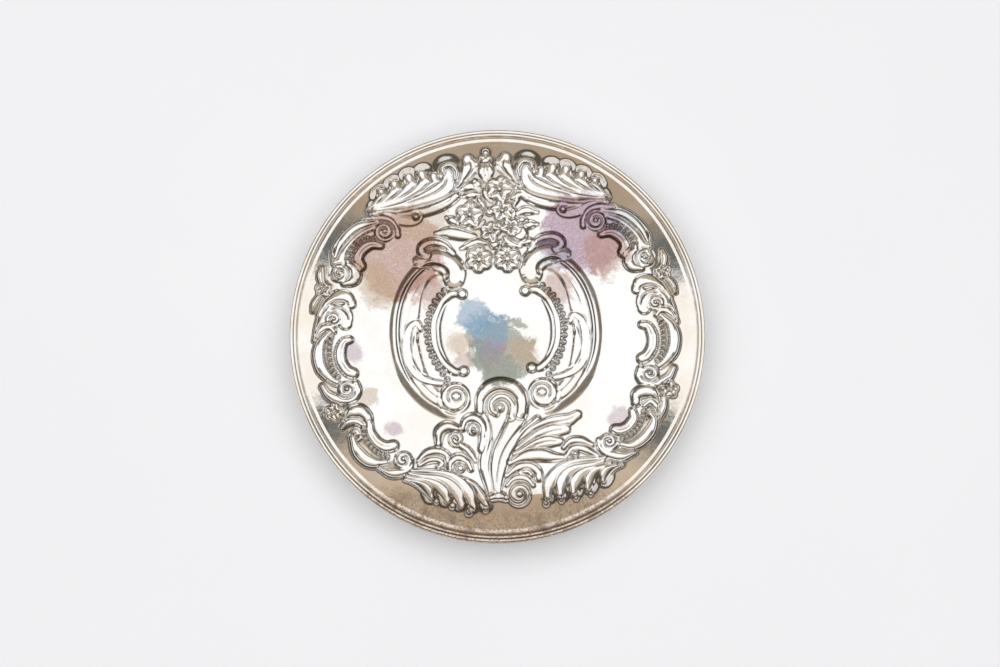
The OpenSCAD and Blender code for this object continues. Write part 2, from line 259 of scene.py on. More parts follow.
def cartouche(r):
    """The shield in the middle: plain field, beaded inner scrolls and broad outer scrolls."""
    r.mirror = False
    r.stroke([(-0.3, -3.5), (-0.3, 4)], 20, 0.3, (1, 1), 0.1, 2.0)
    r.mirror = True
    r.ledge([(-11.4, 14), (-13.4, 12.9), (-15.6, 10.9), (-17.3, 8.2), (-18.6, 4.6), (-19.1, 0.3),
             (-18.7, -3.7), (-17.6, -7.4), (-15.8, -10.5), (-13.1, -13.2), (-9.6, -15), (-6.4, -15.2)],
            1.7, 1.0)
    r.stroke([(-11, 12.6), (-13.8, 11.2), (-16, 8), (-17, 4), (-17.3, 0), (-16.9, -4), (-15.3, -8.3),
              (-12.7, -11.6), (-10, -13.4)], 3.2, 0.75, (0.4, 0.4), -0.22, 0.8)
    r.line([(-12.6, 12.4), (-15.6, 9.6), (-17.4, 5.8), (-18, 1), (-17.8, -3), (-16.8, -6.6), (-14.9, -9.8)],
           0.25, 0.2)
    r.volute(-8, -12.5, 3.0, 0.8, radians(200), 1)
    # Head of the outer scroll, and the small hook on its back
    r.stroke([(-15, 13.6), (-12.2, 14), (-9.6, 13.2), (-8.1, 11.6), (-8.2, 10.4)],
             3.5, 0.9, (0.35, 0.9), 0.35, 0.8)
    r.line([(-14.6, 12.4), (-12.3, 12.8), (-10.4, 12.3), (-9.7, 11.2), (-10.1, 10)], 0.4, -0.4)
    r.line([(-14.6, 13), (-12.2, 13.5), (-9.9, 12.9), (-9, 11.5), (-9.3, 10)], 0.3, 0.22)
    r.stroke([(-8.4, 15.3), (-10.2, 16.8), (-12.6, 17.3), (-14.3, 16.6), (-14.6, 15.4), (-13.6, 14.9)],
             1.3, 0.8, (0.25, 0.7), 0.2, 0.4)
    r.line([(-9.5, 15.8), (-11.4, 16.5), (-13, 16.3), (-13.4, 15.5)], 0.3, -0.25)
    # Side leaf lying over the broad scroll
    r.stroke([(-14.7, 0.7), (-15.5, 1.8), (-16.9, 0.4), (-17.3, -3), (-16.5, -6.5), (-14.6, -8.7),
              (-12.3, -9.6), (-10.6, -9.8)], 1.3, 1.05, (0.4, 0.4), -0.12)
    r.line([(-15.2, 0.2), (-16, -3), (-15.6, -6.4), (-13.6, -8.4)], 0.3, 0.2)
    # Inner scroll with a knob at each end, and its row of beads
    r.stroke([(-7, 7.4), (-9, 7.3), (-10.7, 5.4), (-11.8, 2.5), (-12, 0), (-11.6, -3), (-10.3, -5.6),
              (-8.3, -7.5), (-6.8, -7.6)], 1.7, 0.95, (0.55, 0.55), 0.2, 0.45)
    r.ball(-6.7, 7.3, 0.95, 0.9)
    r.ball(-6.4, -7.5, 0.95, 0.9)
    r.line([(-8, 6.9), (-10, 5.4), (-11.3, 2.4), (-11.5, 0), (-11.1, -2.8), (-9.9, -5.2), (-8.2, -6.9)],
           0.22, -0.28)
    r.beads([(-10.2, 8.1), (-12, 6), (-13.2, 3), (-13.5, 0), (-13, -3), (-11.7, -6.2), (-9.5, -9)],
            15, 0.4, 0.8, 0.1)


def upper_leaf(r):
    """The big acanthus leaf that rolls over beside the top, with its lower leaf and curl."""
    bulbs = [(-9.6, 31.8, 3.6), (-14.2, 30.8, 2.8), (-17, 30.2, 2.6), (-19.9, 28.8, 2.5), (-22.5, 27.2, 2.3)]
    for x, y, size in bulbs:
        r.swell([(x, y), (x - 0.2, y - 0.5)], size, 0.5)
    r.swell([(-11.5, 28.2), (-15, 26.6), (-19, 25.4), (-23, 24.2)], 2.6, 0.4)
    petals = [
        ([(-22.2, 27.4), (-21.8, 26.2), (-23, 24.9), (-24.8, 23.8)], 1.9),
        ([(-19.7, 28.9), (-19.2, 27.4), (-20.6, 25.9), (-23.6, 24.2)], 2.2),
        ([(-16.9, 30.2), (-16.3, 28.4), (-17.9, 26.6), (-21.8, 24.6)], 2.3),
        ([(-14.4, 30.8), (-13.7, 29), (-15.4, 27), (-19.8, 25)], 2.3),
        ([(-12.1, 30.3), (-11.8, 28.6), (-14, 26.6), (-18.6, 24.8)], 2.2),
        ([(-9.2, 31), (-9.9, 28.2), (-12.8, 26.1), (-17.4, 24.5), (-23.8, 23.6)], 2.9),
    ]
    for points, width in petals:
        r.petal(points, width, 1.05, 0.35)
    r.line([(-9.6, 30.6), (-10.4, 28.2), (-13.2, 26.3), (-18, 24.6)], 0.25, -0.3)
    r.stroke([(-8, 29.6), (-7.9, 31.2), (-9, 32.4), (-10.4, 32), (-10.6, 31)],
             0.9, 1.25, (0.5, 0.5), 0.3, 0.35)
    r.stroke([(-19.5, 22.8), (-15, 23.2), (-11.5, 24.2), (-9.2, 25.4), (-8, 26.4)],
             1.5, 0.75, (0.2, 0.8), 0.2)
    r.line([(-13, 23.7), (-10.5, 24.8), (-8.8, 25.9)], 0.3, -0.18)
    r.stroke([(-24, 23), (-21, 22.6), (-18.5, 21.6), (-16.2, 21.4), (-15, 22.1), (-15.6, 22.9)],
             1.1, 0.7, (0.2, 0.6), -0.12)
    r.ball(-15.6, 22.3, 0.7, 0.75)
    r.petal([(-5.6, 33.6), (-5.1, 32.2), (-5.8, 30.4), (-7.4, 28.3)], 3.0, 0.95, 0.4, cut=0)
    r.line([(-5.3, 33.4), (-4.9, 32), (-5.6, 30.4), (-6.6, 29.2)], 0.2, -0.3)


def scroll(r, outer, inner, bead_run, count, width=1.5):
    """An outer and an inner C-scroll with beads between them."""
    r.stroke(outer, width + 0.2, 0.85, (0.4, 0.4), 0.12, 0.4, 0.3)
    r.stroke(inner, 1.6, 0.95, (0.6, 0.95), 0.15, 0.35, 0.25)
    r.line(inner, 0.2, -0.22)
    r.beads(bead_run, count, 0.38, 0.6)


def upper_scroll(r):
    """The scroll between the leaf's tail and the side lobes."""
    r.stroke([(-23.8, 21.2), (-26.8, 20), (-29.2, 17.8), (-30.4, 15.6), (-30.4, 13.6)],
             2.6, 0.75, (0.8, 0.8), -0.15)
    scroll(r, [(-23, 21.6), (-27.2, 20.4), (-30, 17.6), (-31.2, 14.6)],
           [(-22.4, 16.8), (-24.3, 17), (-26, 15.9), (-26.8, 14.2), (-26.2, 12.8)],
           [(-23.8, 18.2), (-25.6, 18.1), (-27.3, 16.8), (-28.4, 15), (-28.7, 13.8)], 8, 1.1)
    r.stroke([(-25.5, 22), (-22.6, 22.2), (-20.6, 21.6), (-19.4, 20.1), (-19.1, 18.7)],
             0.9, 0.75, (0.3, 0.6), 0.1)
    r.volute(-21.7, 19.4, 1.9, 0.75, radians(90), -1)
    r.stroke([(-28.6, 13), (-27.4, 12.2), (-27.1, 10.8), (-27.9, 9.8), (-29.3, 9.5)],
             1.7, 0.8, (0.6, 0.5), 0.25)
    r.volute(-30.3, 11.4, 1.7, 0.75, radians(120), 1)


def side_lobes(r):
    """Two lobes, a beaded scroll and a small flower at each side."""
    r.petal([(-28, 5.6), (-28.9, 6.5), (-31, 6.6), (-33.1, 5.4), (-34.3, 3.4)], 2.6, 0.95, 0.4, left=True)
    r.line([(-28.2, 5.2), (-29.4, 6), (-31.2, 6), (-33, 4.8)], 0.4, -0.4)
    r.petal([(-29, 1.8), (-29.2, 3), (-30.8, 4.1), (-32.8, 3.2), (-34.2, 1.2), (-35, -1.4)],
            3.4, 1.0, 0.4, left=True)
    r.line([(-28.2, 2.2), (-28.7, 3.8), (-30.4, 4.9), (-32.4, 4.2)], 0.35, -0.35)
    r.volute(-31.3, 2.5, 1.5, 0.75, radians(160), -1)
    r.stroke([(-34.6, -0.9), (-33.6, 0.6), (-32.2, 1), (-31.3, 0.2)], 0.9, 0.8, (0.3, 0.7), 0.1)
    scroll(r, [(-32.3, -0.2), (-33.8, -2), (-34.2, -4.5), (-33.5, -7), (-31.9, -8.8), (-30.6, -9.6)],
           [(-28.2, -1.4), (-29.4, -1.9), (-30, -3.8), (-29.7, -5.8), (-28.6, -7.4), (-27.5, -7.9)],
           [(-31.7, -0.9), (-32.1, -3), (-32, -5.2), (-31.4, -7.2), (-30.4, -8.5)], 9)
    r.stroke([(-33.4, -10.2), (-32.2, -11.9), (-30, -12.9), (-27.7, -12.6), (-26.6, -11.2), (-27, -9.9)],
             1.3, 0.8, (0.4, 0.7), 0.15)
    r.volute(-28.7, -11, 1.6, 0.75, radians(200), 1)
    r.flower(-33.4, 8.5, 1.5, 5, 0.2, 0.6)
    r.stroke([(-33.7, 9.8), (-34, 11), (-33.8, 12.6)], 0.7, 0.5, (0.8, 0.2), 0.1)
    r.stroke([(-34.2, 7), (-35, 5.8), (-35.4, 4.3)], 0.6, 0.5, (0.8, 0.2), 0.1)


def bouquet(r):
    """Top finial and the flowers that hang from it into the shield."""
    r.mirror = False
    r.ball(-2.3, 35.2, 0.95, 0.6, 0.6)
    r.stroke([(-3.3, 33.9), (-1.3, 33.8)], 0.6, 0.6, (0.8, 0.8), 0.1, 0.3)
    r.stroke([(-2.3, 33), (-2.2, 31.4), (-2, 29.6)], 2.6, 0.7, (0.5, 0.6), 0.2, 0.4)
    r.line([(-2.7, 32.8), (-2.6, 31.2), (-2.4, 29.8)], 0.2, -0.2)
    r.line([(-1.9, 32.8), (-1.8, 31.2), (-1.7, 29.8)], 0.2, -0.2)
    r.stroke([(-1.8, 29.5), (-1.6, 26), (-1, 21), (-0.8, 15.5)], 9.5, 0.2, (0.6, 0.8), 0.1, 1.2)
    r.grime([(-2, 29), (-1.4, 25), (-0.8, 20)], 9, 0.5)
    leaves = [
        ([(-3.4, 27.6), (-5, 28.3), (-7, 27.6)], 1.4),
        ([(-3.4, 26.6), (-5, 26.6), (-6.6, 26.2)], 1.1),
        ([(-7.4, 21), (-8.6, 21.6), (-9.8, 22.2)], 1.1),
        ([(-4.5, 18.4), (-7, 18.9), (-9.6, 19.3), (-11.8, 19.1)], 1.9),
        ([(-2.2, 17.2), (-4, 17.4), (-7, 16.1)], 1.0),
        ([(3.4, 22.7), (5.4, 23.6), (7.7, 23.2)], 1.2),
        ([(4.6, 20), (6, 20.8), (7.7, 20.9)], 1.2),
        ([(4.4, 17.2), (6, 17.6), (7.2, 17.4)], 1.0),
        ([(2.4, 24.8), (3, 23), (2, 20.9)], 1.1),
        ([(-4.4, 29.4), (-3.6, 28.6), (-3.2, 27.9)], 1.0),
        ([(3.2, 24.6), (3.9, 26.4), (3.6, 28.2)], 0.7),
        ([(-3.6, 25.8), (-2.8, 24.6), (-2.4, 23.2)], 0.9),
        ([(-1.2, 25.4), (-2.2, 26.8), (-2.6, 28.4)], 1.1),
        ([(-2.6, 21.4), (-3.6, 20.6), (-5.6, 20.2)], 1.0),
        ([(1.4, 18.2), (2.6, 17), (4.4, 16.6)], 1.2),
        ([(0.6, 17.6), (0.2, 16.6), (0.6, 15.4)], 0.9),
        ([(2.8, 26), (4.4, 26.6), (5.4, 26.2)], 0.9),
        ([(3.6, 21.4), (4.8, 21.8), (5.8, 21.6)], 0.9),
    ]
    for points, width in leaves:
        r.stroke(points, width, 0.65, (0.6, 0.2), 0.25, 0.35)
        r.line(points, 0.25, -0.14)
    buds = [(0, 20.1, 1.1, 0.65, 0.4), (-0.6, 17, 1.0, 0.65, 0.4), (-1.5, 23.3, 0.9, 0.6, 0.4),
            (0.9, 23.2, 0.9, 0.6, 0.4), (4.3, 19.1, 1.5, 0.65, 0.3)]
    for bud in buds:
        r.ball(*bud)
    flowers = [(0.9, 23.5, 2.1, 5, 0.5, 0.65), (-1.4, 19.4, 1.9, 5, 0.1, 0.65),
               (2.6, 20.3, 1.7, 5, 0.9, 0.65), (0.4, 27.7, 2.5, 5, 1.25, 0.75),
               (-5.3, 22.7, 2.5, 5, 1.5, 0.75), (-3.5, 14, 2.7, 6, 1.5, 0.8), (1.9, 14.1, 2.7, 6, 1.6, 0.8)]
    for flower in flowers:
        r.flower(*flower)


def lower_left(r):
    """Flower, scroll, fan and lobes between the left side and the stem."""
    r.mirror = False
    r.flower(-31.3, -15.2, 1.6, 5, 0.1, 0.6)
    r.stroke([(-28.9, -16.6), (-27.8, -15.4), (-26.2, -15), (-24.9, -16), (-24.6, -16.8)],
             2.0, 0.85, (0.4, 0.7), 0.3)
    r.stroke([(-29.6, -18.2), (-28.2, -17.1), (-26.6, -17.1), (-25.6, -17.8)], 0.8, 0.7, (0.3, 0.7), 0.1)
    r.volute(-27, -19.6, 1.4, 0.7, radians(200), -1)
    scroll(r, [(-27.6, -20.2), (-26.8, -22.4), (-25.2, -24.2), (-23.2, -25), (-21.2, -24.9)],
           [(-24.3, -17.7), (-24.1, -19.3), (-23, -21), (-21.3, -21.9), (-19.7, -21.7)],
           [(-25.5, -18.5), (-25.2, -20), (-24.3, -21.6), (-22.8, -23), (-20.9, -23.8)], 9)
    r.stroke([(-22.4, -26), (-20.6, -26.8), (-18.6, -26.8), (-17, -26), (-16.5, -24.6)],
             1.2, 0.8, (0.2, 0.7), 0.15)
    r.volute(-17.9, -24.3, 1.7, 0.8, radians(40), 1)
    # Small fan beside the stem
    r.stroke([(-15, -24.6), (-13.4, -23.1), (-11.4, -22.7), (-9.7, -23.4), (-9.4, -24.8)],
             0.9, 0.75, (0.3, 0.7), 0.1)
    r.stroke([(-14.8, -25.4), (-12.8, -24.4), (-11.1, -24.4), (-10.4, -25.2), (-11.2, -25.8)],
             0.7, 0.75, (0.3, 0.7), 0.1)
    # Lobes that roll off the stem
    r.stroke([(-11.2, -21.4), (-11, -19), (-9.4, -18), (-7.5, -18.6)], 1.5, 0.85, (0.5, 0.7), 0.25)
    r.volute(-7.8, -20.5, 1.5, 0.75, radians(100), -1)
    r.stroke([(-7, -21.6), (-5.6, -22.6), (-4.2, -24.6)], 0.8, 0.6, (0.7, 0.3), 0.1)
    r.stroke([(-6.6, -18.4), (-6, -16.9), (-4.6, -16.4), (-3.2, -17.3), (-2.7, -19.4), (-3.2, -22.4)],
             1.4, 0.85, (0.5, 0.3), 0.25)
    r.volute(-4.5, -18.7, 1.1, 0.7, radians(90), -1)
    r.stroke([(-9, -26.6), (-8.8, -24.9), (-7.4, -24), (-5.8, -24.8), (-5, -26.2)], 1.2, 0.8, (0.5, 0.4), 0.2)
    r.ball(-7, -26, 0.8, 0.7)


def foot(r, bulbs, lobes, tips, left):
    """A lower acanthus leaf: bulbs under it, its lobes, and a knob beyond each lobe."""
    r.mirror = False
    for x, y in bulbs:
        r.swell([(x, y), (x + 0.3 if left else x - 0.3, y + 0.5)], 2.0, 0.35)
    for points, width in lobes:
        r.petal(points, width, 0.95, 0.35, left=left)
    for x, y, size in tips:
        r.ball(x, y, size, 0.3, 0.3)


def foot_left(r):
    """Lower acanthus leaf, to the left of the stem."""
    bulbs = [(-12.6, -31), (-9.8, -31.6), (-7.2, -32.4), (-4.8, -32.8), (-2.3, -32.6)]
    lobes = [
        ([(-12.6, -31.4), (-13.4, -30), (-15.2, -28.9), (-17.6, -28.2)], 1.5),
        ([(-9.6, -32), (-10.6, -30.2), (-13.2, -28.7), (-17.2, -27.7)], 1.9),
        ([(-6.9, -32.9), (-8, -30.4), (-10.8, -28.4), (-16.8, -27.1)], 2.1),
        ([(-4.7, -33.4), (-5.8, -30.4), (-8.6, -27.9), (-12.6, -26.8), (-17, -26.5)], 2.1),
        ([(-2.2, -33), (-3.6, -31), (-5, -29), (-7.6, -27.4)], 1.6),
    ]
    tips = [(-8.6, -33.2, 0.6), (-5.4, -34.3, 0.8), (-11.6, -32.4, 0.5), (-2.2, -34, 0.5)]
    foot(r, bulbs, lobes, tips, False)


def stem(r):
    """The leaf that rolls over at the bottom of the shield, its stem and its cup."""
    r.mirror = False
    r.stroke([(4.4, -12.5), (4, -15.5), (2.6, -19), (0.6, -23.5), (-0.4, -27.5), (-0.3, -30.6)],
             3.0, 0.85, (0.8, 0.35), 0.3)
    r.stroke([(-2.6, -16), (-1.9, -19), (-2.2, -23), (-2.4, -26), (-1.4, -30.4)], 1.6, 0.7, (0.5, 0.5), 0.2)
    r.line([(-1.2, -17), (-1.1, -20), (-2, -23.5), (-2.7, -26.3)], 0.25, -0.2)
    r.stroke([(-3.3, -15.3), (-3.1, -12.6), (-1.5, -10.6), (0.8, -10), (3.2, -10.8), (4.5, -12.8),
              (4.4, -15.4)], 2.3, 0.95, (0.5, 0.9), 0.35)
    r.stroke([(2.6, -16.2), (2.9, -14.2), (1.9, -12.6), (0.3, -12.3), (-1, -13.3), (-1.1, -14.8),
              (-0.2, -15.6)], 1.2, 0.85, (0.9, 0.6), 0.25, 0.3)
    r.ball(0.5, -14.5, 0.75, 0.85, 0.4)
    r.stroke([(-1.2, -31.6), (0.3, -31.2), (1.7, -31.6)], 1.1, 0.75, (0.7, 0.7), 0.2)
    # Leaf and trumpet flower to the right
    r.stroke([(7.6, -16.6), (4.6, -19.4), (2, -23.2), (0.8, -27.4), (0.2, -30.8)],
             1.1, 0.85, (0.7, 0.3), 0.15)
    blades = [
        ([(15.2, -15.8), (13.2, -16.9), (9.6, -17.6), (6.2, -19.1), (3, -22.2)], 2.2),
        ([(13, -18.6), (10.2, -19.1), (6.8, -20.4), (3, -22.9)], 2.3),
        ([(11.8, -20.9), (9.4, -21), (6.6, -21.8), (3.2, -23.4)], 1.9),
    ]
    for points, width in blades:
        r.petal(points, width, 0.85, 0.35)
        r.line(points[:-1], 0.2, -0.18)
    r.stroke([(2.4, -25), (5, -23.8), (8, -23.4), (10.6, -23.8), (12.8, -23.9)], 1.9, 0.85, (0.2, 0.3), 0.2)
    r.stroke([(1.8, -27.4), (3.8, -25.9), (6.2, -25.6), (7.7, -26.6), (7.9, -27.8)],
             1.1, 0.8, (0.2, 0.8), 0.1)
    r.stroke([(4.4, -26.9), (5.7, -26.6), (6.4, -27.2)], 0.6, 0.8, (0.5, 0.6), 0.1)
    # Rosette under its small fan
    r.stroke([(1.9, -29.2), (3.4, -27.9), (5.4, -27.9), (6.8, -29.2)], 0.9, 0.7, (0.4, 0.4), 0.1)
    r.volute(4.1, -31, 2.3, 0.7, radians(60), 1)


def foot_right(r):
    """Lower acanthus leaf, to the right of the rosette."""
    bulbs = [(9.7, -31), (12.2, -30.6), (14.8, -30), (17.5, -29.2), (20.3, -27.8)]
    lobes = [
        ([(20.2, -28.2), (20.4, -27), (21.8, -26), (24, -25.2)], 1.5),
        ([(17.3, -29.6), (17.6, -28), (19, -26.6), (22.6, -25.2)], 1.7),
        ([(14.6, -30.4), (14.9, -28.6), (16.8, -26.8), (21.6, -25)], 2.0),
        ([(12.1, -30.8), (12.4, -28.6), (14.4, -26.5), (20.2, -24.7)], 2.1),
        ([(9.7, -31.4), (10, -29), (12, -26.5), (15.2, -24.9), (21, -24)], 2.2),
    ]
    tips = [(9.3, -32.6, 0.7), (12.2, -32, 0.6), (15, -31.6, 0.6), (17.8, -30.8, 0.5)]
    foot(r, bulbs, lobes, tips, True)
    r.stroke([(12.6, -22), (13.9, -20.8), (15.9, -20.7), (18, -21.5)], 0.9, 0.75, (0.4, 0.3), 0.1)
    r.stroke([(13.4, -23.4), (14.2, -22.3), (16.2, -22.2), (19, -23.5)], 0.9, 0.75, (0.5, 0.2), 0.1)
    r.ball(14.8, -23.2, 0.6, 0.7)


def lower_right(r):
    """Scroll and flower between the right foot and the right side."""
    r.mirror = False
    scroll(r, [(23.6, -21.5), (25.6, -21.7), (27.8, -20.4), (29.3, -18.5), (29.9, -16.6), (29.2, -15.5)],
           [(25.7, -15.1), (25.9, -16.3), (25.1, -17.7), (23.8, -18.5), (22.4, -18.6)],
           [(23.8, -20.2), (25.5, -19.5), (26.9, -18), (27.7, -16.2), (27.9, -15.1)], 9, 1.3)
    r.stroke([(26.2, -22.9), (24, -23.7), (21.8, -23.4), (20, -22.2), (19.5, -20.8)],
             1.3, 0.8, (0.2, 0.7), 0.15)
    r.volute(21.2, -20.9, 1.7, 0.8, radians(140), -1)
    r.stroke([(26.4, -13.4), (26.6, -11.9), (28.2, -11.2), (29.8, -11.7), (30.6, -13.4)],
             2.0, 0.85, (0.6, 0.4), 0.3)
    r.stroke([(28, -14), (29.2, -13.2), (30.3, -14.2), (30.6, -15.8)], 0.8, 0.75, (0.4, 0.3), 0.1)
    r.flower(33, -10.8, 1.6, 5, 0.3, 0.6)
    r.stroke([(31.8, -12.4), (31.7, -14), (30.9, -16.4)], 0.8, 0.6, (0.7, 0.2), 0.1)


def blur(field, sigma):
    """Gaussian blur by two passes of a one-dimensional kernel. Sigma is in mm."""
    s = sigma / PITCH
    reach = int(3 * s) + 1
    k = np.exp(-0.5 * (np.arange(-reach, reach + 1) / s) ** 2)
    k /= k.sum()
    for axis in (0, 1):
        padded = np.pad(field, [(reach, reach) if a == axis else (0, 0) for a in (0, 1)], mode="edge")
        n = field.shape[axis]
        field = sum(w * np.take(padded, range(i, i + n), axis=axis) for i, w in enumerate(k))
    return field


def ornament():
    """The whole relief. Later parts lie over earlier ones."""
    r = Relief()
    parts = (cartouche, upper_leaf, upper_scroll, side_lobes, bouquet, stem, lower_left, foot_left,
             foot_right, lower_right)
    for part in parts:
        part(r)
    return r


def ground_z(r):
    """Height of the lid without its ornament: a low dome, then a slightly hollow slope."""
    dome = FIELD_Z - (FIELD_Z - SHOULDER[1]) * (r / SHOULDER[0]) ** 2
    t = np.clip((r - SHOULDER[0]) / (BAND_FOOT[0] - SHOULDER[0]), 0, 1)
    slope = SHOULDER[1] - (SHOULDER[1] - BAND_FOOT[1]) * (t + BAND_HOLLOW * t * (1 - t))
    return np.where(r < SHOULDER[0], dome, slope)


def arc(r, z, radius, start, stop, steps):
    """Points along one roll of the reeded edge."""
    angles = np.radians(np.linspace(start, stop, steps))
    return [(r + radius * cos(a), z + radius * sin(a)) for a in angles]


def rim_profile():
    """Radius and height along the lid's section outside the disc, then back underneath."""
    band = [(r, float(ground_z(np.array(r)))) for r in (37.15, 37.4, 37.6)]
    lip = [(37.95, 8.9), (38.3, 8.8), (38.46, 8.7)]
    rolls = arc(38.91, 8.62, 0.38, 165, 12, 8) + arc(39.58, 8.2, 0.42, 122, -25, 9)
    skirt = [(39.95, 7.8), (39.95, 6.4), (39.95, 5.22), (39.87, 5.1)]
    inside = [(39.2, 5.1), (39.15, 5.2), (39.15, 7.95), (36.9, 7.95), (36.85, 8.15), (35.8, 8.34),
              (34.9, 9.0), (34.3, 9.85), (31.5, 10.6), (20, 10.85), (4, 10.9)]
    return band + lip + rolls + skirt + inside


def disc_grid(n):
    """A square grid bent onto the unit disc, so that its quads stay even."""
    a = np.linspace(-1, 1, n + 1)
    x, y = np.meshgrid(a, a)
    wide = np.abs(x) >= np.abs(y)
    r = np.where(wide, x, y)
    with np.errstate(divide="ignore", invalid="ignore"):
        t = np.where(wide, pi / 4 * y / x, pi / 2 - pi / 4 * x / y)
    t = np.nan_to_num(t)
    return r * np.cos(t), r * np.sin(t)


def grid_rim(n):
    """Indices of a grid's edge vertices, anticlockwise from its lower right corner."""
    i = np.arange(n)
    w = n + 1
    return np.concatenate([i * w + n, n * w + n - i, (n - i) * w, i])


def grid_quads(n):
    """Corners of the quads of a grid."""
    i = (np.arange(n)[:, None] * (n + 1) + np.arange(n)).ravel()
    return np.stack([i, i + 1, i + n + 2, i + n + 1], 1)


def ring_quads(first, second):
    """Quads between two closed rings of vertices."""
    return np.stack([first, second, np.roll(second, -1), np.roll(first, -1)], 1)


def look_up(field, x, y):
    """Height of a raster between its samples."""
    u = np.clip((x + REACH) / PITCH, 0, field.shape[1] - 1.001)
    v = np.clip((y + REACH) / PITCH, 0, field.shape[0] - 1.001)
    j, i = u.astype(int), v.astype(int)
    fu, fv = u - j, v - i
    return ((field[i, j] * (1 - fu) + field[i, j + 1] * fu) * (1 - fv)
            + (field[i + 1, j] * (1 - fu) + field[i + 1, j + 1] * fu) * fv)


def piece(name, points, faces, material, body=None, node=None):
    """A mesh from points in mm. With a body, it rides on it and stands for a CAD node."""
    mesh = bpy.data.meshes.new(name)
    mesh.from_pydata((np.asarray(points, float) * MM).tolist(), [], [list(map(int, f)) for f in faces])
    mesh.validate()
    mesh.shade_smooth()
    ob = bpy.data.objects.new(name, mesh)
    bpy.context.scene.collection.objects.link(ob)
    mesh.materials.append(material)
    if body:
        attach(ob, body)
        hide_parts(node)
    return ob


def vertex_values(ob, name, values):
    """Numbers on the vertices that a material can read by their name."""
    attribute = ob.data.attributes.new(name, "FLOAT", "POINT")
    attribute.data.foreach_set("value", np.asarray(values, np.float32))


def lid_piece(material):
    """The embossed lid: a disc with the relief on it, the reeded rim round it, and its underside."""
    relief = ornament()
    height = blur(relief.height, 0.08)
    rx, ry = np.meshgrid(relief.axis, relief.axis)
    raised = blur(ground_z(np.hypot(rx, ry)), 0.22) + height
    room_left = PEAK_Z - np.minimum(raised, PEAK_Z)
    total = np.minimum(raised, PEAK_Z - PEAK_SOFT * np.exp(-4 * room_left))
    hollow = np.clip((blur(height, 0.2) - height) * HOLLOW_GAIN, 0, 1)
    soil = blur(relief.soil * (1 - smooth01((height - 0.3) / 0.35)), 0.1)

    gx, gy = disc_grid(DISC_N)
    x, y = gx.ravel() * DISC_R, gy.ravel() * DISC_R
    # Each row holds a vertex: its place, how hollow it lies (on the rim: the painted shade in its creases and
    # underneath) and how soiled it is
    rows = [np.stack([x, y, *(look_up(field, x, y) for field in (total, hollow, soil))], 1)]
    faces = [grid_quads(DISC_N)]
    ring = grid_rim(DISC_N)
    angle = np.arctan2(y[ring], x[ring])
    ux, uy = np.cos(angle), np.sin(angle)
    count = len(x)
    for r, z in rim_profile():
        px, py = ux * r, uy * r
        floor = np.where((np.abs(px) < NOTCH_HALF) & (py > 0) & (r > SKIRT_R), NOTCH_Z, 0)
        # Painted shade: dark along the rim's creases, and a little darker on its skirt and underside
        crease = sum(np.exp(-((r - middle) / width) ** 2) for middle, width in CREASES)
        dark = np.full(len(ring), crease if z > CREASE_Z else PAINTED_UNDER_SHADE)
        rows.append(np.stack([px, py, np.maximum(z, floor), dark, 0 * dark], 1))
        following = np.arange(count, count + len(ring))
        faces.append(ring_quads(ring, following))
        ring = following
        count += len(ring)
    # The middle of the underside
    rows.append([[0, 0, z, 0, 0]])
    fan = [(a, count, b) for a, b in zip(ring, np.roll(ring, -1))]
    rows = np.concatenate(rows)
    all_faces = np.concatenate(faces).tolist() + fan
    lid = piece("lid_embossed", rows[:, :3], all_faces, material, "lid", "lid_cover")
    vertex_values(lid, "hollow", rows[:, 3])
    vertex_values(lid, "soil", rows[:, 4])


# ---- Materials ----
class Nodes:
    """Short names for the nodes of one tree."""

    def __init__(self, tree):
        self.tree = tree

    def node(self, kind, sockets=None, **settings):
        """A new node with its settings. Each socket is fed by another node or holds a value."""
        made = self.tree.nodes.new(kind)
        for key, value in settings.items():
            setattr(made, key, value)
        for key, value in (sockets or {}).items():
            if isinstance(value, bpy.types.NodeSocket):
                self.tree.links.new(value, made.inputs[key])
            else:
                made.inputs[key].default_value = value
        return made

    def vector(self, operation, *values, output="Vector"):
        """The vector that a vector operation gives."""
        made = self.node("ShaderNodeVectorMath", dict(enumerate(values)), operation=operation)
        return made.outputs[output]

    def measure(self, operation, *values):
        """The number that a vector operation gives."""
        return self.vector(operation, *values, output="Value")

    def split(self, vector):
        return self.node("ShaderNodeSeparateXYZ", {0: vector}).outputs

    def spread(self, value, low, high, start=0.0, stop=1.0):
        """Smoothly from start to stop while the value runs from low to high."""
        sockets = {"Value": value, "From Min": low, "From Max": high, "To Min": start, "To Max": stop}
        return self.node("ShaderNodeMapRange", sockets, interpolation_type="SMOOTHSTEP").outputs[0]

    def math(self, operation, *values):
        """What a calculation with one or two values gives."""
        return self.node("ShaderNodeMath", dict(enumerate(values)), operation=operation).outputs[0]

    def times(self, *values):
        result = values[0]
        for value in values[1:]:
            result = self.math("MULTIPLY", result, value)
        return result

    def mix(self, share, a, b):
        """From colour a to colour b by a share."""
        a, b = ((*colour, 1) if isinstance(colour, tuple) else colour for colour in (a, b))
        return self.node("ShaderNodeMix", {0: share, 6: a, 7: b}, data_type="RGBA").outputs[2]


